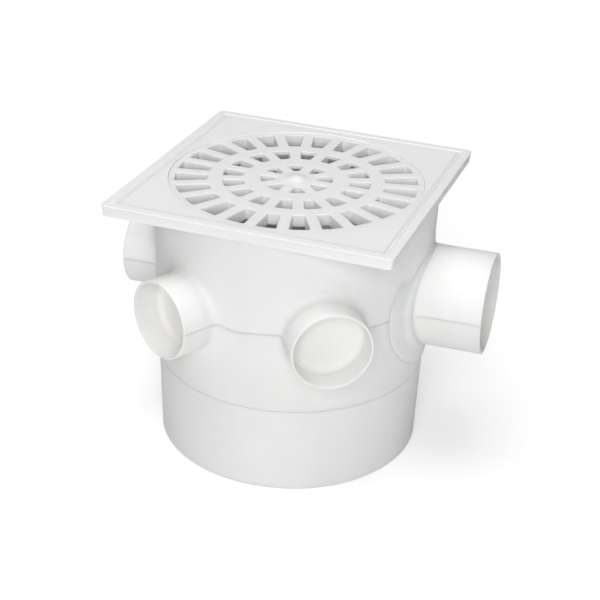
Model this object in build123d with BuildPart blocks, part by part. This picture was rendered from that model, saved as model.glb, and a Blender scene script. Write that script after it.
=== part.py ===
from build123d import *
from math import cos, radians, sin, tan
import os

os.makedirs("parts", exist_ok=True)

# Gully trap for a wet-room floor, in mm.
# The origin is the centre of the foot, +Z points up and +X runs along the outlet.

# Main sizes of the two-part body
body_height = 148.0
seam_height = 50.0
foot_radius = 73.9
seam_radius = 75.1
rim_radius = 77.4
wall = 2.4
floor_thickness = 3.0
lap_length = 12.0
lap_clearance = 0.2
seam_groove = 0.5
foot_bevel = 0.7
floor_round = 6.0
rim_round = 0.4

# Branches: one plain outlet and five closed inlet sockets, all on one level
branch_level = 96.5
branch_pitch = 60.0
outlet_radius = 27.65
outlet_bore = 25.45
outlet_reach = 111.3
outlet_socket_depth = 32.0
outlet_passage = 23.5
inlet_radius = 21.55
inlet_bore = 20.15
inlet_reach = 94.0
inlet_socket_depth = 16.5
inlet_passage = 15.8
membrane_recess = 1.2
membrane = 1.2
inlet_root_round = 4.5
outlet_root_round = 2.0
mouth_round = 0.35

# Trap chamber inside the body, in front of the outlet
seal_depth = 50.0
chamber_centre = 42.0
chamber_radius = 27.0
chamber_wall = 2.2
chamber_back = 69.8
chamber_roof = 126.0
neck_height = 135.0
neck_bore = 17.0
neck_wall = 2.2

# Cleaning plug and its ring seal
plug_clearance = 0.3
plug_skirt_depth = 9.0
plug_flange_radius = 20.0
plug_flange = 2.4
plug_wall = 2.4
grip_length = 28.0
grip_width = 3.2
grip_top = 143.6
seal_height = 2.6
seal_section = 1.3
seal_drop = 4.5
seal_gap = 0.05

# Square cover frame
cover_side = 156.0
cover_top = 153.0
cover_corner = 2.6
cover_turn = -2.6
lip_height = 0.9
lip_overhang = 0.3
skirt_draft = 0.7
skirt_thickness = 1.8
border_width = 4.3
border_step = 0.7
border_slope = 1.0
dish_angle = 1.5
plate_underside = 149.8
collar_depth = 18.0
collar_wall = 2.2
collar_clearance = 0.2
gusset_width = 1.6
gusset_count = 24
corner_rib_width = 1.8
corner_rib_reach = 100.0
seat_bore = 66.0
seat_thickness = 2.0
dish_floor = 40.0

# Round grate, laid in the frame
grate_radius = 69.0
grate_clearance = 0.3
grate_top = 151.5
grate_plate = 2.4
grate_depth = 6.4
grate_turn = -3.4
bar_width = 6.2
slot_round = 0.8
slot_chamfer = 0.35
rings = [
    (24, 48.0, 65.3),
    (16, 29.0, 40.0),
    (8, 11.0, 19.3),
]
rib_wall = 2.4
bar_pocket_width = 2.6
boss_radius = 5.6
boss_height = 1.5

# Tapers of the two mouldings
cup_slope = (seam_radius - foot_radius) / seam_height
body_slope = (rim_radius - seam_radius) / (body_height - seam_height)


def cup_outside(height):
    return foot_radius + cup_slope * height


def body_outside(height):
    return seam_radius + body_slope * (height - seam_height)


lap_foot = seam_height - lap_length
outlet_invert = branch_level - outlet_passage
chamber_foot = outlet_invert - seal_depth

# Lower cup: a drafted tub with a rounded inner corner and a grooved top edge
with BuildPart() as lower_cup:
    with BuildSketch(Plane.XZ):
        with BuildLine():
            Polyline(
                (0, 0),
                (foot_radius - foot_bevel, 0),
                (cup_outside(foot_bevel), foot_bevel),
                (cup_outside(seam_height - seam_groove), seam_height - seam_groove),
                (seam_radius - seam_groove, seam_height),
                (seam_radius - wall, seam_height),
                (foot_radius - wall, floor_thickness),
                (0, floor_thickness),
                close=True,
            )
        make_face()
    revolve(axis=Axis.Z)
    floor_edge = lower_cup.edges().filter_by(GeomType.CIRCLE).filter_by_position(
        Axis.Z, floor_thickness - 0.01, floor_thickness + 0.01
    )
    fillet(floor_edge, radius=floor_round)
lower_cup.part.label = "lower_cup"
export_step(lower_cup.part, "parts/lower_cup.step")


def branch_plane(direction, reach):
    turn = radians(direction)
    outward = (cos(turn), sin(turn), 0)
    centre = (reach * cos(turn), reach * sin(turn), branch_level)
    return Plane(origin=centre, x_dir=(-sin(turn), cos(turn), 0), z_dir=outward)


inlet_directions = [branch_pitch * step for step in range(1, 6)]

# Upper body: drafted barrel, branches, trap chamber and plug neck in one moulding
with BuildPart() as upper_body:
    # Barrel, solid at first
    with BuildSketch(Plane.XZ):
        with BuildLine():
            Polyline(
                (0, seam_height),
                (seam_radius - seam_groove, seam_height),
                (body_outside(seam_height + seam_groove), seam_height + seam_groove),
                (rim_radius, body_height),
                (0, body_height),
                close=True,
            )
        make_face()
    revolve(axis=Axis.Z)

    # Tubes of the branches, with rounded roots
    with BuildSketch(branch_plane(0, 0)):
        Circle(outlet_radius)
    extrude(amount=outlet_reach)
    for direction in inlet_directions:
        with BuildSketch(branch_plane(direction, 0)):
            Circle(inlet_radius)
        extrude(amount=inlet_reach)
    roots = upper_body.edges().filter_by(GeomType.BSPLINE)
    outlet_root = [edge for edge in roots if edge.bounding_box().min.X > inlet_reach * 0.7]
    inlet_roots = [edge for edge in roots if edge.bounding_box().min.X < inlet_reach * 0.6]
    fillet(outlet_root, radius=outlet_root_round)
    fillet(inlet_roots, radius=inlet_root_round)

    # Inside of the barrel
    with BuildSketch(Plane.XZ):
        with BuildLine():
            Polyline(
                (0, seam_height - 1),
                (body_outside(seam_height - 1) - wall, seam_height - 1),
                (body_outside(body_height + 1) - wall, body_height + 1),
                (0, body_height + 1),
                close=True,
            )
        make_face()
    revolve(axis=Axis.Z, mode=Mode.SUBTRACT)

    # Lap that stands in the cup
    with BuildSketch(Plane.XZ):
        with BuildLine():
            Polyline(
                (seam_radius - wall - lap_clearance, seam_height + 1),
                (cup_outside(lap_foot) - wall - lap_clearance, lap_foot),
                (cup_outside(lap_foot) - 2 * wall, lap_foot),
                (seam_radius - 2 * wall, seam_height),
                (seam_radius - wall, seam_height + 4),
                (seam_radius - wall + 0.6, seam_height + 4),
                (seam_radius - wall + 0.6, seam_height),
                (seam_radius - wall - lap_clearance, seam_height),
                close=True,
            )
        make_face()
    revolve(axis=Axis.Z)

    # Trap chamber: a dip tube hung inside the wall, closed by a roof
    with BuildSketch(Plane.XY.offset(chamber_foot)):
        with Locations((chamber_centre, 0)):
            Circle(chamber_radius + chamber_wall)
        with Locations((chamber_centre + rim_radius / 2, 0)):
            Rectangle(rim_radius, 2 * (chamber_radius + chamber_wall))
        Circle(chamber_back + chamber_wall, mode=Mode.INTERSECT)
    extrude(amount=chamber_roof + chamber_wall - chamber_foot)
    with BuildSketch(Plane.XY.offset(seam_height + 2)):
        with Locations((chamber_centre, 0)):
            Circle(chamber_radius + chamber_wall)
        with Locations((chamber_centre + rim_radius / 2, 0)):
            Rectangle(rim_radius, 2 * (chamber_radius + chamber_wall))
        Circle(seam_radius, mode=Mode.INTERSECT)
    extrude(amount=chamber_roof + chamber_wall - seam_height - 2)
    with Locations((chamber_centre, 0, chamber_roof)):
        Cylinder(
            neck_bore + neck_wall,
            neck_height - chamber_roof,
            align=(Align.CENTER, Align.CENTER, Align.MIN),
        )

    # Space inside the chamber, up to the roof
    with BuildSketch(Plane.XY.offset(chamber_foot - 1)):
        with Locations((chamber_centre, 0)):
            Circle(chamber_radius)
        with Locations((chamber_centre + rim_radius / 2, 0)):
            Rectangle(rim_radius, 2 * chamber_radius)
        Circle(chamber_back, mode=Mode.INTERSECT)
    extrude(amount=seam_height + 6 - chamber_foot, mode=Mode.SUBTRACT)
    with BuildSketch(Plane.XY.offset(seam_height + 4)):
        with Locations((chamber_centre, 0)):
            Circle(chamber_radius)
        with Locations((chamber_centre + rim_radius / 2, 0)):
            Rectangle(rim_radius, 2 * chamber_radius)
        Circle(seam_radius - wall, mode=Mode.INTERSECT)
    extrude(amount=chamber_roof - seam_height - 4, mode=Mode.SUBTRACT)
    with Locations((chamber_centre, 0, chamber_roof - 1)):
        Cylinder(
            neck_bore,
            neck_height - chamber_roof + 2,
            align=(Align.CENTER, Align.CENTER, Align.MIN),
            mode=Mode.SUBTRACT,
        )

    # Outlet: passage through the wall, then a socket with a pipe stop
    with BuildSketch(branch_plane(0, outlet_reach)):
        Circle(outlet_bore)
    extrude(amount=-outlet_socket_depth, mode=Mode.SUBTRACT)
    with BuildSketch(branch_plane(0, chamber_centre)):
        Circle(outlet_passage)
    extrude(amount=outlet_reach - chamber_centre, mode=Mode.SUBTRACT)

    # Inlets: sockets with a pipe stop, each closed by a thin knock-out disc
    disc_face = inlet_reach - inlet_socket_depth - membrane_recess
    for direction in inlet_directions:
        with BuildSketch(branch_plane(direction, inlet_reach)):
            Circle(inlet_bore)
        extrude(amount=-inlet_socket_depth, mode=Mode.SUBTRACT)
        with BuildSketch(branch_plane(direction, inlet_reach)):
            Circle(inlet_passage)
        extrude(amount=-(inlet_socket_depth + membrane_recess), mode=Mode.SUBTRACT)
        with BuildSketch(branch_plane(direction, disc_face - membrane)):
            Circle(inlet_passage)
        extrude(amount=-8, mode=Mode.SUBTRACT)

    # Small rounds on the mouths and the rim
    mouth_edges = upper_body.edges().filter_by(GeomType.CIRCLE).filter_by(
        lambda edge: abs((edge.arc_center.X**2 + edge.arc_center.Y**2) ** 0.5 - inlet_reach) < 0.01
        or abs(edge.arc_center.X - outlet_reach) < 0.01
    )
    fillet(mouth_edges, radius=mouth_round)
    rim_edge = upper_body.edges().filter_by(GeomType.CIRCLE).filter_by_position(
        Axis.Z, body_height - 0.01, body_height + 0.01
    ).sort_by(SortBy.LENGTH)[-1]
    fillet(rim_edge, radius=rim_round)
upper_body.part.label = "upper_body"
export_step(upper_body.part, "parts/upper_body.step")


def turned_plane(height, turn):
    return Plane(origin=(0, 0, height), x_dir=(cos(radians(turn)), sin(radians(turn)), 0), z_dir=(0, 0, 1))


# Square cover frame: plate with a drafted skirt, collar, grate seat, gussets and corner ribs
seat_level = grate_top - grate_depth
opening = grate_radius + grate_clearance
ring_outside = opening + collar_wall
collar_foot = body_height - collar_depth
collar_seat_radius = body_outside(seat_level) - wall - collar_clearance
collar_foot_radius = body_outside(collar_foot) - wall - collar_clearance
half_side = cover_side / 2
half_foot = half_side - lip_overhang - skirt_draft
panel_edge = half_side - border_width
panel_level = cover_top - border_step
dish_edge = panel_edge - border_slope
dish_drop = (dish_edge - dish_floor) * tan(radians(dish_angle))

with BuildPart() as cover_frame:
    # Skirt with a small lip along the top edge
    with BuildSketch(turned_plane(body_height, cover_turn)):
        RectangleRounded(2 * half_foot, 2 * half_foot, cover_corner)
    with BuildSketch(turned_plane(cover_top - lip_height, cover_turn)):
        RectangleRounded(2 * (half_side - lip_overhang), 2 * (half_side - lip_overhang), cover_corner)
    loft()
    with BuildSketch(turned_plane(cover_top - lip_height, cover_turn)):
        RectangleRounded(cover_side, cover_side, cover_corner)
    extrude(amount=lip_height)
    fillet(cover_frame.faces().sort_by(Axis.Z)[-1].edges(), radius=rim_round)

    # Hollow under the plate
    with BuildSketch(turned_plane(body_height, cover_turn)):
        RectangleRounded(2 * (half_foot - skirt_thickness), 2 * (half_foot - skirt_thickness), cover_corner)
    extrude(amount=plate_underside - body_height, mode=Mode.SUBTRACT)

    # Panel inside the raised border: a sloping step, then four faces that fall to the middle
    with BuildSketch(turned_plane(cover_top, cover_turn)):
        Rectangle(2 * panel_edge, 2 * panel_edge)
    with BuildSketch(turned_plane(panel_level, cover_turn)):
        Rectangle(2 * dish_edge, 2 * dish_edge)
    loft(mode=Mode.SUBTRACT)
    with BuildSketch(turned_plane(panel_level, cover_turn)):
        Rectangle(2 * dish_edge, 2 * dish_edge)
    with BuildSketch(turned_plane(panel_level - dish_drop, cover_turn)):
        Rectangle(2 * dish_floor, 2 * dish_floor)
    loft(mode=Mode.SUBTRACT)

    # Gussets that rest on the body's rim, and ribs into the corners
    with BuildSketch(turned_plane(body_height, cover_turn)):
        with PolarLocations((ring_outside + half_foot) / 2 - 0.5, gusset_count):
            Rectangle(half_foot - ring_outside, gusset_width)
    extrude(amount=plate_underside - body_height + 0.5)
    with BuildSketch(turned_plane(body_height + 0.4, cover_turn)):
        with PolarLocations((ring_outside + corner_rib_reach) / 2, 4, start_angle=45):
            Rectangle(corner_rib_reach - ring_outside, corner_rib_width)
    extrude(amount=plate_underside - body_height)

    # Ring wall, grate seat and collar in one turned section
    with BuildSketch(Plane.XZ):
        with BuildLine():
            Polyline(
                (seat_bore, seat_level),
                (seat_bore, seat_level - seat_thickness),
                (collar_foot_radius - collar_wall, seat_level - 2 * seat_thickness),
                (collar_foot_radius - collar_wall, collar_foot),
                (collar_foot_radius - 0.5, collar_foot),
                (collar_foot_radius, collar_foot + 0.8),
                (collar_seat_radius, seat_level),
                (ring_outside, seat_level),
                (ring_outside, plate_underside + 0.5),
                (opening, plate_underside + 0.5),
                (opening, seat_level),
                close=True,
            )
        make_face()
    revolve(axis=Axis.Z)

    # Opening for the grate
    with BuildSketch(Plane.XY.offset(seat_level)):
        Circle(opening)
    extrude(amount=cover_top - seat_level, mode=Mode.SUBTRACT)
cover_frame.part.label = "cover_frame"
export_step(cover_frame.part, "parts/cover_frame.step")

# Round grate: thin plate, deep rim, rib rings and bars between three rings of slots
with BuildPart() as grate:
    with BuildSketch(Plane.XY.offset(seat_level)):
        Circle(grate_radius)
    extrude(amount=grate_depth)

    # Three rings of slots, with bars of one width left between them
    for count, inner, outer in rings:
        with BuildSketch(turned_plane(seat_level, grate_turn)) as slots:
            Circle(outer)
            Circle(inner, mode=Mode.SUBTRACT)
            with PolarLocations(outer / 2, count):
                Rectangle(outer + 2, bar_width, mode=Mode.SUBTRACT)
            fillet(slots.vertices(), radius=slot_round)
        extrude(amount=grate_depth, mode=Mode.SUBTRACT)
    chamfer(grate.faces().sort_by(Axis.Z)[-1].edges(), length=slot_chamfer)

    # Channels under the webs between the rings, and a hollow under the hub
    with BuildSketch(Plane.XY.offset(seat_level)):
        for (outer_ring, inner_ring) in zip(rings[:-1], rings[1:]):
            Circle(outer_ring[1] - rib_wall)
            Circle(inner_ring[2], mode=Mode.SUBTRACT)
        Circle(rings[-1][1] - rib_wall)
    extrude(amount=grate_depth - grate_plate, mode=Mode.SUBTRACT)

    # Narrow pockets under the bars
    for count, inner, outer in rings[:-1]:
        with BuildSketch(turned_plane(seat_level, grate_turn)):
            with PolarLocations((inner + outer) / 2, count):
                Rectangle(outer - inner - 2 * rib_wall + 1, bar_pocket_width)
        extrude(amount=grate_depth - grate_plate, mode=Mode.SUBTRACT)

    # Domed boss in the middle
    with BuildSketch(Plane.XZ):
        with BuildLine():
            boss_arc = TangentArc(
                (0, grate_top + boss_height),
                (boss_radius, grate_top - 0.2),
                tangent=(1, 0),
            )
            Polyline(boss_arc @ 1, (0, grate_top - 0.2), boss_arc @ 0)
        make_face()
    revolve(axis=Axis.Z)
grate.part.label = "grate"
export_step(grate.part, "parts/grate.step")

# Cleaning plug: a drafted hollow stopper with a flange, a ring groove and a grip across the top
plug_outside = neck_bore - plug_clearance
groove_level = neck_height - seal_drop
plug_place = Plane(origin=(chamber_centre, 0, 0), x_dir=(1, 0, 0), z_dir=(0, -1, 0))
with BuildPart() as trap_plug:
    with BuildSketch(plug_place):
        with BuildLine():
            Polyline(
                (0, neck_height + plug_flange),
                (0, neck_height),
                (plug_outside - plug_wall - 1.2, neck_height),
                (plug_outside - plug_wall - 1.6, neck_height - plug_skirt_depth),
                (plug_outside - 0.8, neck_height - plug_skirt_depth),
                (plug_outside, neck_height - plug_skirt_depth + 1.6),
                (plug_outside, groove_level - seal_height / 2),
                (plug_outside - seal_section, groove_level - seal_height / 2),
                (plug_outside - seal_section, groove_level + seal_height / 2),
                (plug_outside, groove_level + seal_height / 2),
                (plug_outside, neck_height),
                (plug_flange_radius, neck_height),
                (plug_flange_radius, neck_height + plug_flange),
                close=True,
            )
        make_face()
    revolve(axis=Axis(plug_place.origin, (0, 0, 1)))
    flange_edge = trap_plug.edges().filter_by(GeomType.CIRCLE).sort_by(Axis.Z)[-1]
    fillet(flange_edge, radius=0.8)
    with BuildSketch(Plane.XY.offset(neck_height)):
        with Locations((chamber_centre, 0)):
            SlotOverall(grip_length, grip_width, rotation=90)
    extrude(amount=grip_top - neck_height)
    grip_edges = trap_plug.faces().sort_by(Axis.Z)[-1].edges()
    fillet(grip_edges, radius=0.9)
trap_plug.part.label = "trap_plug"
export_step(trap_plug.part, "parts/trap_plug.step")

# Ring seal in the plug's groove
with BuildPart() as plug_seal:
    with BuildSketch(plug_place) as seal_profile:
        with BuildLine():
            Polyline(
                (plug_outside - seal_section + seal_gap, groove_level - seal_height / 2 + seal_gap),
                (neck_bore - seal_gap, groove_level - seal_height / 2 + seal_gap),
                (neck_bore - seal_gap, groove_level + seal_height / 2 - seal_gap),
                (plug_outside - seal_section + seal_gap, groove_level + seal_height / 2 - seal_gap),
                close=True,
            )
        make_face()
        fillet(seal_profile.vertices(), radius=0.45)
    revolve(axis=Axis(plug_place.origin, (0, 0, 1)))
plug_seal.part.label = "plug_seal"
export_step(plug_seal.part, "parts/plug_seal.step")
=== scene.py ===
# %% [markdown]
# # A gully trap in white moulded PVC
# The object is a floor drain: a round tapered body with pipe branches, and a square cover
# with a round slotted grate. Its frame of solids is loaded first, because every piece
# below takes its place from it. The object's lengths are written in millimetres and
# turned into metres by one factor, while the camera, the lamps and the floor are placed
# in metres. +Z is up and the outlet points along +X.

# %% Load the frame
import bpy
import bmesh
from math import asin, atan2, cos, degrees, pi, radians, sin, sqrt
from mathutils import Matrix, Vector


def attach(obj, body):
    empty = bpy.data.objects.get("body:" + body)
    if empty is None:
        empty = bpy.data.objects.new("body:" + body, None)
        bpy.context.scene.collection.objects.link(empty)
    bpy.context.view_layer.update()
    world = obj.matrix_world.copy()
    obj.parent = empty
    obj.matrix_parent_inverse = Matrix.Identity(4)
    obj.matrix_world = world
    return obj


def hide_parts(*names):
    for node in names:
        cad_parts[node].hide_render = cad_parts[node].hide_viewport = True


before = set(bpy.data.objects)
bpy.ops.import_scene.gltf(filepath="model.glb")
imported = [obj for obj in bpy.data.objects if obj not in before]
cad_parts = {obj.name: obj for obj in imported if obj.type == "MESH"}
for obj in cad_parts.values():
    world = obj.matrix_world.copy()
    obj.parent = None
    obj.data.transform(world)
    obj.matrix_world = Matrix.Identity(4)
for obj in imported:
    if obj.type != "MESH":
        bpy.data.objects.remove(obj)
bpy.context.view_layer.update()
scene = bpy.context.scene
mm = 0.001
print("nodes", sorted(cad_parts))

# %% [markdown]
# ## Sizes that the pieces share
# The trim below lies on the solids, so it needs their main sizes. They could be measured
# from the meshes, but a short list of named sizes is easier to read and to change. The
# barrel is one cone, so its radius at any height is a straight line.

# %% Sizes of the frame
seam_height = 50.0
seam_radius = 75.1
barrel_slope = 2.3 / 98.0
branch_level = 96.5
inlet_radius = 21.55
inlet_bore = 20.15
inlet_reach = 94.0
inlet_root = 4.5
inlet_angles = [60, 120, 180, 240, 300]
outlet_radius = 27.65
outlet_reach = 111.3
cover_turn = -2.6


def barrel_radius(height):
    """Outside radius of the barrel at a height."""
    return seam_radius + barrel_slope * (height - seam_height)


print("barrel radius at the branches", round(barrel_radius(branch_level), 2), "mm")

# %% [markdown]
# ## Camera
# The object was seen from a little above, as by a person who stands at a table. A long
# lens keeps the cover's edges nearly parallel. The place and the turn were worked out
# from the cover's corners and the body's outline, so they are kept as three angles and
# not as a point to look at: the small roll would be lost otherwise.

# %% Camera
camera_data = bpy.data.cameras.new("camera")
camera_data.lens = 80.68
camera_data.sensor_width = 36.0
camera_data.clip_start = 0.05
camera = bpy.data.objects.new("camera", camera_data)
camera.location = (0.19752, -0.64303, 0.43186)
camera.rotation_euler = (radians(62.208), radians(-1.894), radians(17.713))
scene.collection.objects.link(camera)
scene.camera = camera
print("camera", [round(value, 3) for value in camera.location])

# %% [markdown]
# ## Colours and nodes
# Three small helpers serve the whole lesson. Colours are written as the hex digits that
# a paint program shows, and one function makes them linear, because Blender's shaders
# work with linear values. The scale of a pattern is worked out from the real size of its
# cells, since object coordinates are metres here. The third helper adds a node with its
# settings and links, so a material reads as a list of nodes and not as a page of
# assignments. A socket that shares its name with others is given by its number.

# %% Colour and node helpers
def linear(hex_colour):
    """sRGB hex digits to linear red, green, blue and alpha."""
    values = [int(hex_colour[i:i + 2], 16) / 255 for i in (0, 2, 4)]
    curved = [v / 12.92 if v <= 0.04045 else ((v + 0.055) / 1.055) ** 2.4 for v in values]
    return (*curved, 1.0)


def pattern_scale(size):
    """Scale of a pattern whose cells are so many mm wide."""
    return 1 / (size * mm)


def add_node(tree, kind, settings=None, links=None):
    """Adds one node, sets its properties or sockets and joins its inputs."""
    node = tree.nodes.new(kind)
    for name, value in (settings or {}).items():
        if isinstance(name, int) or name in node.inputs:
            node.inputs[name].default_value = value
        else:
            setattr(node, name, value)
    for name, source in (links or {}).items():
        tree.links.new(source, node.inputs[name])
    return node


white = linear("FFFFFF")
print("body white in linear values", [round(v, 3) for v in linear("F4F4F2")])

# %% [markdown]
# ## Room
# White plastic on a white ground only shows its form by shading, so the room gives just
# enough light to keep the far side of the object readable. The camera itself sees a
# plain white room: a light path node tells its rays from the ones that light the object.

# %% Room
scene.view_settings.view_transform = "Standard"
world = bpy.data.worlds.new("soft_room")
scene.world = world
world.use_nodes = True
room = world.node_tree
room.nodes.clear()
ray = add_node(room, "ShaderNodeLightPath")
seen = add_node(room, "ShaderNodeMath", {"operation": "MAXIMUM"},
                {0: ray.outputs["Is Camera Ray"], 1: ray.outputs["Is Transmission Ray"]})
dim = add_node(room, "ShaderNodeBackground", {"Color": white, "Strength": 0.20})
bright = add_node(room, "ShaderNodeBackground", {"Color": white, "Strength": 1.0})
mix = add_node(room, "ShaderNodeMixShader", None,
               {0: seen.outputs[0], 1: dim.outputs[0], 2: bright.outputs[0]})
add_node(room, "ShaderNodeOutputWorld", None, {"Surface": mix.outputs[0]})
print("room", world.name)

# %% [markdown]
# ## Lamps
# The light must be soft but not even. A soft box stands low in front, near the camera,
# and lights the walls of the slots as well as the barrel. A larger one hangs overhead
# for the cover. A weak cool one on the right opens the outlet a little without lifting
# the dark side of the barrel.

# %% Lamps
def area_lamp(name, place, aim, size, watts, colour="FFFFFF"):
    """A square soft box at a place, turned to what it lights."""
    data = bpy.data.lights.new(name, "AREA")
    data.shape = "SQUARE"
    data.size = size
    data.energy = watts
    data.color = linear(colour)[:3]
    lamp = bpy.data.objects.new(name, data)
    lamp.location = place
    lamp.rotation_euler = (Vector(aim) - Vector(place)).to_track_quat("-Z", "Y").to_euler()
    scene.collection.objects.link(lamp)


area_lamp("soft_box_front", (0.40, -1.38, 0.80), (0, 0, 0.08), 0.7, 12.6)
area_lamp("soft_box_top", (-0.12, -0.1, 1.25), (0, 0, 0.1), 0.8, 7.3)
area_lamp("soft_box_right", (1.0, -0.1, 0.45), (0, 0, 0.1), 0.4, 0.25, "E6EDFF")

# %% [markdown]
# ## Floor
# A plane far wider than the view needs no backdrop. It is made as a grid of one square
# and isn't part of the object.

# %% Floor
floor_mesh = bpy.data.meshes.new("floor")
form = bmesh.new()
bmesh.ops.create_grid(form, x_segments=1, y_segments=1, size=6.0)
form.to_mesh(floor_mesh)
form.free()
floor = bpy.data.objects.new("floor", floor_mesh)
scene.collection.objects.link(floor)
print("floor", len(floor_mesh.polygons), "face")

# %% [markdown]
# ## White paper sweep
# The floor is a sheet of matt paper with a faint grain. A plain diffuse floor would
# render grey in front of a white room, so camera rays see it with a little light of its
# own, just enough to make the open floor white, and more of it further away, where the
# lamps fall off. The soft shadow under the object stays, because the shade is only
# missing lamp light.

# %% Material of the floor
paper = bpy.data.materials.new("white_paper_sweep")
paper.use_nodes = True
tree = paper.node_tree
tree.nodes.clear()
ray = add_node(tree, "ShaderNodeLightPath")
place = add_node(tree, "ShaderNodeTexCoord")
# Paper is matt all over; its fibres are too fine to show, so the grain is drawn 1.1 mm wide
grain = add_node(tree, "ShaderNodeTexNoise", {"Scale": pattern_scale(1.1111), "Detail": 2.0},
                 {"Vector": place.outputs["Object"]})
grain_bump = add_node(tree, "ShaderNodeBump", {"Strength": 0.02, "Distance": 0.2 * mm},
                      {"Height": grain.outputs["Fac"]})
matt = add_node(tree, "ShaderNodeBsdfDiffuse", {"Color": linear("EFEFEF")},
                {"Normal": grain_bump.outputs["Normal"]})
# The floor's own light grows from the object outward
away = add_node(tree, "ShaderNodeVectorMath", {"operation": "LENGTH"},
                {0: place.outputs["Object"]})
far_light = add_node(tree, "ShaderNodeMapRange",
                     {"From Min": 0.15, "From Max": 1.6, "To Min": 0.36, "To Max": 1.0},
                     {"Value": away.outputs["Value"]})
own_light = add_node(tree, "ShaderNodeEmission", {"Color": white},
                     {"Strength": far_light.outputs["Result"]})
lifted = add_node(tree, "ShaderNodeAddShader", None,
                  {0: matt.outputs["BSDF"], 1: own_light.outputs["Emission"]})
mix = add_node(tree, "ShaderNodeMixShader", None,
               {0: ray.outputs["Is Camera Ray"], 1: matt.outputs["BSDF"],
                2: lifted.outputs["Shader"]})
add_node(tree, "ShaderNodeOutputMaterial", None, {"Surface": mix.outputs["Shader"]})
floor_mesh.materials.append(paper)
print("floor material", paper.name)

# %% [markdown]
# ## Moulded PVC
# Unplasticised PVC is a nearly neutral white with a satin skin. One flat colour would
# look like plaster, so four things are layered: a slow drift of the colour where the
# melt flowed, the fine orange peel of a blasted mould, a roughness that follows the same
# noise, and light that enters the skin by some millimetres, which keeps the slot walls
# bright. One function makes each moulding's own batch, and takes the depth that light
# enters, which is less where a wall is thin.

# %% Material of the mouldings
def moulded_pvc(name, tint, deeper_tint, drift, parting=None, depth=4.0):
    """Injection-moulded rigid PVC, satin; IOR 1.53, roughness about 0.55, depth in mm, with a
    painted shade below the parting height when one is given.
    """
    material = bpy.data.materials.new(name)
    material.use_nodes = True
    tree = material.node_tree
    tree.nodes.clear()
    place = add_node(tree, "ShaderNodeTexCoord").outputs["Object"]
    # Flow marks about 38 mm wide, drawn out along the height
    stretch = add_node(tree, "ShaderNodeMapping",
                       {"Location": (drift, 0.3 * drift, 0.0), "Scale": (1.0, 1.0, 0.35)},
                       {"Vector": place})
    flow = add_node(tree, "ShaderNodeTexNoise",
                    {"Scale": pattern_scale(38.4615), "Detail": 4.0, "Roughness": 0.55},
                    {"Vector": stretch.outputs["Vector"]})
    tone = add_node(tree, "ShaderNodeMapRange", {"From Min": 0.35, "From Max": 0.65},
                    {"Value": flow.outputs["Fac"]})
    colour = add_node(tree, "ShaderNodeMix",
                      {"data_type": "RGBA", 6: linear(tint), 7: linear(deeper_tint)},
                      {0: tone.outputs["Result"]}).outputs[2]
    if parting is not None:
        # Painted shade: below the parting line the colour is made a shade darker, standing in for
        # the lower half of the barrel that faces a little away from the light
        parts = add_node(tree, "ShaderNodeSeparateXYZ", None, {"Vector": place})
        painted_shade_mask = add_node(tree, "ShaderNodeMapRange",
                         {"From Min": (parting + 0.4) * mm, "From Max": (parting - 0.4) * mm},
                         {"Value": parts.outputs["Z"]})
        colour = add_node(tree, "ShaderNodeMix",
                          {"data_type": "RGBA", "blend_type": "MULTIPLY", 7: linear("FCFCFC")},
                          {0: painted_shade_mask.outputs["Result"], 6: colour}).outputs[2]
    # The grain of blasted steel is about 0.1 mm, too fine to show here, so it is drawn in
    # two coarser sizes: an orange peel of 1.4 mm and a finer grain of 0.3 mm in it
    peel = add_node(tree, "ShaderNodeTexNoise",
                    {"Scale": pattern_scale(1.4286), "Detail": 3.0, "Roughness": 0.6},
                    {"Vector": place})
    fine = add_node(tree, "ShaderNodeTexNoise", {"Scale": pattern_scale(0.3125), "Detail": 2.0},
                    {"Vector": place})
    waves = add_node(tree, "ShaderNodeBump", {"Strength": 0.12, "Distance": 0.8 * mm},
                     {"Height": flow.outputs["Fac"]})
    peel_bump = add_node(tree, "ShaderNodeBump", {"Strength": 0.10, "Distance": 0.12 * mm},
                         {"Height": peel.outputs["Fac"], "Normal": waves.outputs["Normal"]})
    fine_bump = add_node(tree, "ShaderNodeBump", {"Strength": 0.08, "Distance": 0.04 * mm},
                         {"Height": fine.outputs["Fac"], "Normal": peel_bump.outputs["Normal"]})
    gloss = add_node(tree, "ShaderNodeMapRange",
                     {"From Min": 0.3, "From Max": 0.7, "To Min": 0.50, "To Max": 0.60},
                     {"Value": peel.outputs["Fac"]})
    skin = add_node(tree, "ShaderNodeBsdfPrincipled",
                    {"IOR": 1.53, "Subsurface Weight": 0.6, "Subsurface Radius": (1.0, 0.9, 0.8),
                     "Subsurface Scale": depth * mm},
                    {"Base Color": colour, "Roughness": gloss.outputs["Result"],
                     "Normal": fine_bump.outputs["Normal"]})
    add_node(tree, "ShaderNodeOutputMaterial", None, {"Surface": skin.outputs["BSDF"]})
    return material


# The body's batch carries the painted shade below the parting line.
body_pvc = moulded_pvc("moulded_upvc_body", "F4F4F2", "F1F0EE", 0.0, parting=branch_level)
socket_pvc = moulded_pvc("moulded_upvc_socket", "F4F4F2", "F1F0EE", 0.0, depth=0.5)
cup_pvc = moulded_pvc("moulded_upvc_cup", "F3F3F2", "F0EFEE", 0.7)
# Painted light: the cover and the grate are written whiter than the body, standing in for the
# stronger light that falls on the top of the object.
cover_pvc = moulded_pvc("moulded_upvc_cover", "F8F8F7", "F5F5F4", 1.9, depth=1.2)
grate_pvc = moulded_pvc("moulded_upvc_grate", "F8F8F6", "F5F5F3", 3.1)
plug_pvc = moulded_pvc("moulded_upvc_plug", "F0EFEB", "ECEBE7", 4.3)
print("PVC batches", [batch.name for batch in bpy.data.materials if "upvc" in batch.name])

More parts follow.
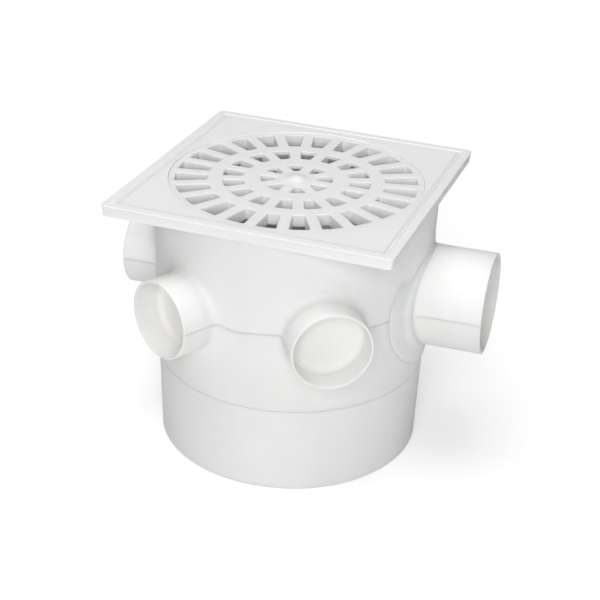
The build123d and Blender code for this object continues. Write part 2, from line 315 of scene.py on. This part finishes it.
# %% [markdown]
# ## Rubber of the ring seal
# The stopper's seal is a moulded ring of black EPDM. It could share the plastic's
# material in another colour, but rubber has a rougher, duller skin with a dusty bloom,
# so it gets its own: dark, rough above 0.6, and with paler patches of bloom.

# %% Material of the seal
seal_rubber = bpy.data.materials.new("moulded_epdm_rubber")
seal_rubber.use_nodes = True
tree = seal_rubber.node_tree
tree.nodes.clear()
place = add_node(tree, "ShaderNodeTexCoord").outputs["Object"]
# Patches of bloom 5.6 mm wide
bloom = add_node(tree, "ShaderNodeTexNoise", {"Scale": pattern_scale(5.5556), "Detail": 5.0},
                 {"Vector": place})
dust = add_node(tree, "ShaderNodeMix",
                {"data_type": "RGBA", 6: linear("2A2A2B"), 7: linear("3C3B39")},
                {0: bloom.outputs["Fac"]})
dull = add_node(tree, "ShaderNodeMapRange", {"To Min": 0.6, "To Max": 0.8},
                {"Value": bloom.outputs["Fac"]})
# Pores of 0.4 mm
pores = add_node(tree, "ShaderNodeTexNoise", {"Scale": pattern_scale(0.4), "Detail": 2.0},
                 {"Vector": place})
pore_bump = add_node(tree, "ShaderNodeBump", {"Strength": 0.2, "Distance": 0.05 * mm},
                     {"Height": pores.outputs["Fac"]})
rubber = add_node(tree, "ShaderNodeBsdfPrincipled", {"IOR": 1.52},
                  {"Base Color": dust.outputs[2], "Roughness": dull.outputs["Result"],
                   "Normal": pore_bump.outputs["Normal"]})
add_node(tree, "ShaderNodeOutputMaterial", None, {"Surface": rubber.outputs["BSDF"]})
print("seal material", seal_rubber.name)

# %% [markdown]
# ## Finish of the solids
# The solids keep their shape, and only their material slots change. Each moulding takes
# its own batch, so that two parts that touch don't share one pattern.

# %% Materials of the solids
finishes = {
    "upper_body": body_pvc,
    "lower_cup": cup_pvc,
    "cover_frame": cover_pvc,
    "grate": grate_pvc,
    "trap_plug": plug_pvc,
    "plug_seal": seal_rubber,
}
for node_name, material in finishes.items():
    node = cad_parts[node_name]
    if not node.material_slots:
        node.data.materials.append(material)
    for material_slot in node.material_slots:
        material_slot.material = material
print("finished solids", len(finishes))

# %% [markdown]
# ## From a form to a piece
# Every piece below ends in the same way. Its normals are turned outward, and its faces
# are smoothed except across sharp edges, without the normals that a copied mesh brings
# along. It gets its material and rides on the body.
# One function does that.

# %% Function that finishes a piece
def make_piece(form, name, material, sharp):
    """Turns a bmesh into a finished piece that rides on the body; sharp is in degrees."""
    bmesh.ops.recalc_face_normals(form, faces=form.faces)
    mesh = bpy.data.meshes.new(name)
    form.to_mesh(mesh)
    form.free()
    carried = mesh.attributes.get("custom_normal")
    if carried:
        mesh.attributes.remove(carried)
    mesh.shade_smooth()
    mesh.set_sharp_from_angle(angle=radians(sharp))
    mesh.materials.append(material)
    piece = bpy.data.objects.new(name, mesh)
    scene.collection.objects.link(piece)
    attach(piece, "root")
    print(name, len(mesh.polygons), "faces")
    return piece


print("make_piece ready")

# %% [markdown]
# ## A bead along a line
# The traces of the mould are fine round beads. A curve with a round bevel makes one from
# a line of points, and is simpler than sweeping a circle by hand. The curve is turned
# into a mesh at once, so that it is finished like every other piece.

# %% Function for a bead
def make_bead(points, name, thickness):
    """A round bead along a line of points in mm, as a mesh."""
    line = bpy.data.curves.new(name + "_line", "CURVE")
    line.dimensions = "3D"
    line.bevel_depth = thickness / 2 * mm
    line.bevel_resolution = 3
    line.use_fill_caps = True
    spline = line.splines.new("POLY")
    spline.points.add(len(points) - 1)
    for spline_point, point in zip(spline.points, points):
        spline_point.co = (*(value * mm for value in point), 1.0)
    holder = bpy.data.objects.new(name + "_holder", line)
    scene.collection.objects.link(holder)
    bpy.context.view_layer.update()
    tube = bpy.data.meshes.new_from_object(holder)
    bpy.data.objects.remove(holder)
    bpy.data.curves.remove(line)
    form = bmesh.new()
    form.from_mesh(tube)
    bpy.data.meshes.remove(tube)
    bmesh.ops.remove_doubles(form, verts=form.verts, dist=0.01 * mm)
    make_piece(form, name, body_pvc, sharp=60.0)


print("make_bead ready")

# %% [markdown]
# ## Values between listed ones
# Two of the pieces follow measured values: how far the parting line dips, and how far
# the outlet's pad stands out. Both are short lists of pairs, and one function reads a
# value between two of them.

# %% Function that reads between pairs
def between(pairs, value):
    """Straight interpolation in a list of pairs, level beyond its ends."""
    if value <= pairs[0][0]:
        return pairs[0][1]
    for (start, low), (end, high) in zip(pairs[:-1], pairs[1:]):
        if value <= end:
            return low + (high - low) * (value - start) / (end - start)
    return pairs[-1][1]


print("halfway between 1 and 3 is", between([(0.0, 1.0), (1.0, 3.0)], 0.5))

# %% [markdown]
# ## Path of the parting line
# Where the two halves of the mould met, a thin bead of plastic runs round the body at
# the level of the branches, out along each tube and back. A bump in the material could
# fake it, but then its bright top and dark underside would be missing at the outline, so
# it is a real bead, half sunk in the wall. The path is worked out in the plane of the
# branches: tube side, round of the root, barrel, round, tube side. Between two of the
# inlets the line dips a little, where the halves of the mould overlap.

# %% Path of the parting line
bead = 0.75
sunk = 0.1
mouth_end = 0.5
root_gap = 0.3
root_steps = 8
barrel_steps = 40
dips = [(-103.0, 0.0), (-102.0, 0.3), (-98.5, -1.5), (-95.2, -2.0),
        (-89.0, -1.0), (-83.0, -0.3), (-76.0, 0.0)]
root_aside = inlet_radius + inlet_root
root_along = sqrt((barrel_radius(branch_level) + inlet_root) ** 2 - root_aside ** 2)
root_spread = degrees(atan2(root_aside, root_along)) + root_gap


def turned(along, aside, angle):
    """A point given along and beside a branch, turned to the branch's angle."""
    turn = radians(angle)
    return (along * cos(turn) - aside * sin(turn),
            along * sin(turn) + aside * cos(turn), branch_level)


def tube_side(angle, side):
    """The line along one side of an inlet and round its root, from the mouth inward."""
    points = [turned(inlet_reach - mouth_end, side * (inlet_radius - sunk), angle)]
    first_swing = 1.5 * pi
    last_swing = pi + atan2(root_aside, root_along)
    reach = inlet_root + sunk
    for step in range(root_steps + 1):
        swing = first_swing + (last_swing - first_swing) * step / root_steps
        points.append(turned(root_along + reach * cos(swing),
                             side * (root_aside + reach * sin(swing)), angle))
    return points


def barrel_run(start, end):
    """The line along the barrel from one angle to another."""
    points = []
    for step in range(barrel_steps + 1):
        angle = start + (end - start) * step / barrel_steps
        height = branch_level + between(dips, (angle + 180) % 360 - 180)
        radius = barrel_radius(height) - sunk
        points.append((radius * cos(radians(angle)), radius * sin(radians(angle)), height))
    return points


print("a root ends", round(root_spread, 1), "degrees from its tube")

# %% [markdown]
# ## Beads of the parting line
# Between two inlets one bead runs from mouth to mouth. Beside the outlet it ends at the
# edge of the round pad that is made below.

# %% Beads on barrel and inlets
pad_radius = 39.0
under_pad = 0.6
pad_angle = degrees(asin((pad_radius - under_pad) / barrel_radius(branch_level)))
for first, second in zip(inlet_angles[:-1], inlet_angles[1:]):
    middle = barrel_run(first + root_spread, second - root_spread)
    line = tube_side(first, 1) + middle + tube_side(second, -1)[::-1]
    make_bead(line, f"parting_line_{first}_{second}", bead)
line = tube_side(300, 1) + barrel_run(300 + root_spread, 360 - pad_angle)
make_bead(line, "parting_line_300_outlet", bead)
line = tube_side(60, -1) + barrel_run(60 - root_spread, pad_angle)
make_bead(line, "parting_line_60_outlet", bead)

# %% [markdown]
# ## Parting line of the outlet
# The large tube was dressed better after moulding: its bead barely stands out. It is
# the same form, thinner and sunk deeper.

# %% Beads on the outlet
outlet_bead = 0.5
outlet_sunk = 0.19
for side, side_name in ((1, "left"), (-1, "right")):
    aside = side * (outlet_radius - outlet_sunk)
    line = [(along, aside, branch_level) for along in (78.0, 95.0, outlet_reach - mouth_end)]
    make_bead(line, f"outlet_parting_line_{side_name}", outlet_bead)

# %% [markdown]
# ## Growing a form ring by ring
# The pad and the cover's trim both grow as a row of rings, each one out of the last. The
# operator extrudes a loop of edges and gives back what it made, and this helper picks
# the new corners and the new edges out of that.

# %% Function that grows a ring
def grow_ring(form, edges):
    """Extrudes a loop of edges and returns the new loop's vertices and edges."""
    grown = bmesh.ops.extrude_edge_only(form, edges=edges)["geom"]
    ring = [item for item in grown if isinstance(item, bmesh.types.BMVert)]
    return ring, [item for item in grown if isinstance(item, bmesh.types.BMEdge)]


print("grow_ring ready")

# %% [markdown]
# ## Pad round the outlet: rings
# The outlet was formed by a core block of its own, which left a round pad that stands
# proud of the barrel. A disc with a hole is drawn flat, each ring extruded from the last
# one. The outermost rings round the edge, and each has its share of the pad's full
# rise. The innermost ones lie close together, where the pad sweeps up to the tube.

# %% Flat rings of the pad
pad_edge = [(0.25, 0.1), (0.05, 0.5), (-0.25, 0.8), (-0.7, 0.96), (-1.3, 1.0)]
pad_field = [36.0, 34.0, 32.6, 31.4, 30.4, 29.6, 28.9, 28.4, 28.0, 27.75, outlet_radius]
foot_ring = 0.5
inside_tube = 27.0
ring_sizes = [pad_radius + offset for offset, share in pad_edge]
ring_sizes += pad_field + [inside_tube, inside_tube]
form = bmesh.new()
bmesh.ops.create_circle(form, cap_ends=False, segments=144, radius=pad_radius + foot_ring)
rings = [list(form.verts)]
edges = outer_edges = list(form.edges)
for radius in ring_sizes:
    ring, edges = grow_ring(form, edges)
    for vert in ring:
        vert.co = vert.co.normalized() * radius
    rings.append(ring)
bmesh.ops.bridge_loops(form, edges=edges + outer_edges)
print("pad", len(rings), "rings")

# %% [markdown]
# ## Pad round the outlet: onto the barrel
# Every ring is now pushed onto the barrel. The pad stands out most at its lower edge and
# not at all at the top, and its root at the tube is larger below than above. The first
# and the last ring are sunk into the wall, which closes the form out of sight.

# %% Pad on the barrel
rise_by_height = [(57.0, 1.7), (69.0, 1.1), (82.0, 0.9),
                  (96.5, 0.8), (108.0, 0.35), (116.0, -0.12)]
level_root = 3.4
root_change = 1.3 / 30.0
sunk_ring = -1.0


def pad_stand(across, up, share):
    """How far the pad stands out of the barrel at a place beside and above its centre."""
    rise = between(rise_by_height, branch_level + up)
    root = level_root - root_change * up
    inward = outlet_radius + root - sqrt(across ** 2 + up ** 2)
    inward = min(max(inward, 0.0), root)
    return (rise * share if rise > 0 else rise) + root - sqrt(root ** 2 - inward ** 2)


shares = [share for offset, share in pad_edge] + [1.0] * (len(pad_field) + 1)
for index, ring in enumerate(rings):
    sunk_in = index in (0, len(rings) - 1)
    for vert in ring:
        across, up = vert.co.x, vert.co.y
        height = branch_level + up
        surface = sqrt(barrel_radius(height) ** 2 - across ** 2)
        stand = sunk_ring if sunk_in else pad_stand(across, up, shares[index - 1])
        vert.co = Vector((surface + stand, across, height)) * mm
make_piece(form, "outlet_pad", body_pvc, sharp=40.0)

# %% [markdown]
# ## Round foot of the inlet sockets
# Each inlet is closed by a disc that is broken out when a pipe is joined there. The
# wall runs into the disc in a wide round, which catches a soft gradient. The section of
# that round is drawn once, as pairs of radius and depth from the mouth, and spun about
# the tube's axis. It is made along +X and then turned to its inlet, so all five are the
# same form.

# %% Round feet of the sockets
cove_start = 12.85
cove_foot = 16.45
cove_back = 17.0
cove_flat = 16.43
cove_width = inlet_bore + 0.03 - cove_flat
cove_steps = 12
in_wall = inlet_bore + 0.45
section = [(0.0, cove_foot)]
for step in range(cove_steps + 1):
    swing = (1 - step / cove_steps) * pi / 2
    section.append((cove_flat + cove_width * cos(swing),
                    cove_start + (cove_foot - cove_start) * sin(swing)))
section += [(in_wall, cove_start - 0.85), (in_wall, cove_back), (0.0, cove_back)]
for angle in inlet_angles:
    form = bmesh.new()
    verts = [form.verts.new(((inlet_reach - depth) * mm, 0.0, radius * mm))
             for radius, depth in section]
    lines = [form.edges.new(pair) for pair in zip(verts[:-1], verts[1:])]
    bmesh.ops.spin(form, geom=verts + lines, cent=(0, 0, 0), axis=(1, 0, 0), angle=2 * pi, steps=96,
                   use_merge=True)
    bmesh.ops.remove_doubles(form, verts=form.verts, dist=0.001 * mm)
    move = Matrix.Rotation(radians(angle), 4, "Z") @ Matrix.Translation((0, 0, branch_level * mm))
    bmesh.ops.transform(form, matrix=move, verts=form.verts)
    make_piece(form, f"inlet_{angle}_foot", socket_pvc, sharp=50.0)

# %% [markdown]
# ## A square ring, made along a section
# The cover's trim is two square rings with rounded corners. Each could be cut from a
# block, but a ring that is extruded along its section keeps even faces and stays easy to
# change. A square is drawn with create_circle of four segments, its corners are bevelled
# round, and the outline is extruded from one point of the section to the next.

# %% Function for a square ring
def make_square_ring(section, name, corner):
    """A square ring on the cover, from a section of half sides and heights in mm."""
    form = bmesh.new()
    size_now, first_height = section[0]
    bmesh.ops.create_circle(form, cap_ends=False, segments=4, radius=size_now * sqrt(2))
    bmesh.ops.rotate(form, verts=form.verts, cent=(0, 0, 0), matrix=Matrix.Rotation(pi / 4, 3, "Z"))
    bmesh.ops.bevel(form, geom=list(form.verts), offset=corner, offset_type="OFFSET", segments=8,
                    profile=0.5, affect="VERTICES", material=-1)
    edges = first_edges = list(form.edges)
    for vert in form.verts:
        vert.co.z = first_height
    for half_side, height in section[1:]:
        ring, edges = grow_ring(form, edges)
        for vert in ring:
            across, along = vert.co.x, vert.co.y
            vert.co = Vector((across * half_side / size_now, along * half_side / size_now, height))
        size_now = half_side
    bmesh.ops.bridge_loops(form, edges=edges + first_edges)
    turn = Matrix.Rotation(radians(cover_turn), 4, "Z") @ Matrix.Scale(mm, 4)
    bmesh.ops.transform(form, matrix=turn, verts=form.verts)
    make_piece(form, name, cover_pvc, sharp=40.0)


print("make_square_ring ready")

# %% [markdown]
# ## Skirt of the cover
# The skirt of the cover hangs a little lower than the solid's, over the rim of the
# body, and a fine step runs round its middle. The section runs down the outside, under
# the rounded foot and up inside the wall.

# %% Cover skirt
skirt_section = [(77.0, 152.2), (77.74, 152.1), (77.60, 149.45), (77.46, 149.30),
                 (77.42, 147.05), (77.20, 146.80), (76.30, 146.80), (76.30, 152.0)]
make_square_ring(skirt_section, "cover_skirt", corner=2.6)

# %% [markdown]
# ## Edge of the panel
# Inside the raised border the panel starts with a low edge of its own, so that a shallow
# groove runs round between the two. In front its outer face catches the light as a fine
# bright line, and at the back it lies in shade.

# %% Panel edge
panel_edge_section = [(73.05, 152.0), (72.95, 152.30), (72.70, 152.66),
                      (72.35, 152.70), (70.6, 152.24), (70.4, 151.9)]
make_square_ring(panel_edge_section, "cover_panel_edge", corner=0.6)

# %% [markdown]
# ## Grate, a size fuller
# The real grate fills its seat with hardly a gap, while the solid keeps the clearance
# that it needs to be lifted out. A copy of the solid's own mesh is merged, widened by a
# third of a percent and smooth-shaded, and stands for the solid.

# %% Grate
fuller = 1.0032
form = bmesh.new()
form.from_mesh(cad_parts["grate"].data)
bmesh.ops.remove_doubles(form, verts=form.verts, dist=0.005 * mm)
bmesh.ops.scale(form, verts=form.verts, vec=(fuller, fuller, 1.0))
grate = make_piece(form, "slotted_grate", grate_pvc, sharp=30.0)
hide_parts("grate")
